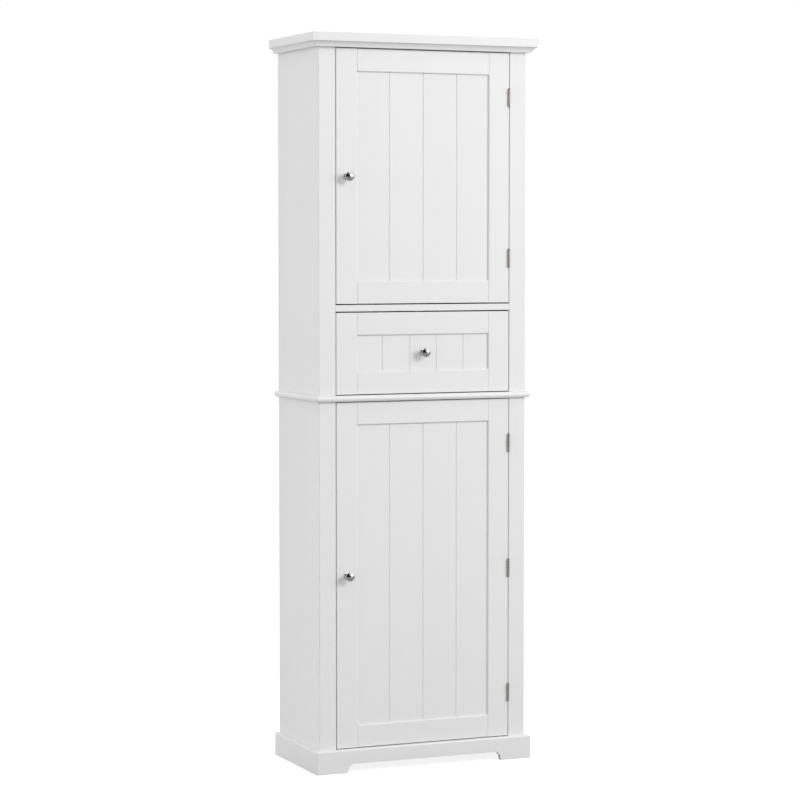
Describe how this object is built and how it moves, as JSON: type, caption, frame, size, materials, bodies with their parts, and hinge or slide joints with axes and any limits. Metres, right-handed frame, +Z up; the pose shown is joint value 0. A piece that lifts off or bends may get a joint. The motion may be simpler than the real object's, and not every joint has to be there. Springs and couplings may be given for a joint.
{
  "type": "freestanding bathroom cabinet",
  "caption": "Tall freestanding bathroom cabinet with hinged doors above and below a drawer, inner shelves, a moulded crown and a plinth on bracket feet.",
  "frame": {"origin": "on the floor, in the middle of the width and of the whole depth, knobs included", "axes": "+Z up, +X to the right as seen by someone facing the doors, +Y from the doors towards the wall"},
  "size_m": [0.6, 0.3056, 1.8],
  "materials": {
    "carcass_paint": "white satin paint on board",
    "door_paint": "white satin paint on board",
    "panel_paint": "white satin paint on grooved board",
    "inner_board": "white satin board",
    "back_board": "hardboard, lacquered white inside and raw brown outside",
    "drawer_board": "white satin board",
    "knob_chrome": "polished",
    "hinge_nickel": "satin nickel",
    "zinc_steel": "zinc plated",
    "fitting_plastic": "matt white"
  },
  "bodies": {
    "cabinet": {"top_board": "carcass_paint", "crown_front": "carcass_paint", "crown_sides": "carcass_paint", "upper_left_side": "carcass_paint", "upper_right_side": "carcass_paint", "lower_left_side": "carcass_paint", "lower_right_side": "carcass_paint", "upper_left_stile": "carcass_paint", "upper_right_stile": "carcass_paint", "lower_left_stile": "carcass_paint", "lower_right_stile": "carcass_paint", "head_rail": "carcass_paint", "drawer_deck": "carcass_paint", "waist_board": "carcass_paint", "bottom_board": "inner_board", "upper_back": "back_board", "lower_back": "back_board", "wall_rail": "inner_board", "base_front": "carcass_paint", "base_left": "carcass_paint", "base_right": "carcass_paint", "upper_shelf": "inner_board", "lower_shelves": "inner_board", "shelf_pins": "zinc_steel", "magnetic_catches": "fitting_plastic", "runner_blocks": "inner_board", "drawer_runners": "fitting_plastic", "drawer_stop": "fitting_plastic", "frame_hinge_leaves": "hinge_nickel", "hinge_pins": "hinge_nickel", "carcass_screws": "zinc_steel", "cam_locks": "zinc_steel", "cam_bolts": "zinc_steel"},
    "upper_door": {"upper_door_latch_stile": "door_paint", "upper_door_hinge_stile": "door_paint", "upper_door_rails": "door_paint", "upper_door_panel": "panel_paint", "upper_knob": "knob_chrome", "upper_knob_screw": "zinc_steel", "upper_door_hinge_leaves": "hinge_nickel", "upper_strike_plate": "zinc_steel", "upper_door_screws": "zinc_steel"},
    "lower_door": {"lower_door_latch_stile": "door_paint", "lower_door_hinge_stile": "door_paint", "lower_door_rails": "door_paint", "lower_door_panel": "panel_paint", "lower_knob": "knob_chrome", "lower_knob_screw": "zinc_steel", "lower_door_hinge_leaves": "hinge_nickel", "lower_strike_plate": "zinc_steel", "lower_door_screws": "zinc_steel"},
    "drawer": {"drawer_front_stiles": "door_paint", "drawer_front_rails": "door_paint", "drawer_panel": "panel_paint", "drawer_knob": "knob_chrome", "drawer_knob_screw": "zinc_steel", "drawer_box_front": "drawer_board", "drawer_box_sides": "drawer_board", "drawer_box_back": "drawer_board", "drawer_box_bottom": "drawer_board"}
  },
  "joints": [
    {"name": "upper_door_hinge", "type": "hinge", "parent": "cabinet", "child": "upper_door", "pos_m": [0.23075, -0.12695, 1.4555], "axis": [0, 0, 1], "range_deg": [0, 170]},
    {"name": "lower_door_hinge", "type": "hinge", "parent": "cabinet", "child": "lower_door", "pos_m": [0.23075, -0.12695, 0.48325], "axis": [0, 0, 1], "range_deg": [0, 170]},
    {"name": "drawer_slide", "type": "slide", "parent": "cabinet", "child": "drawer", "axis": [0, -1, 0], "range_m": [0, 0.19]}
  ]
}
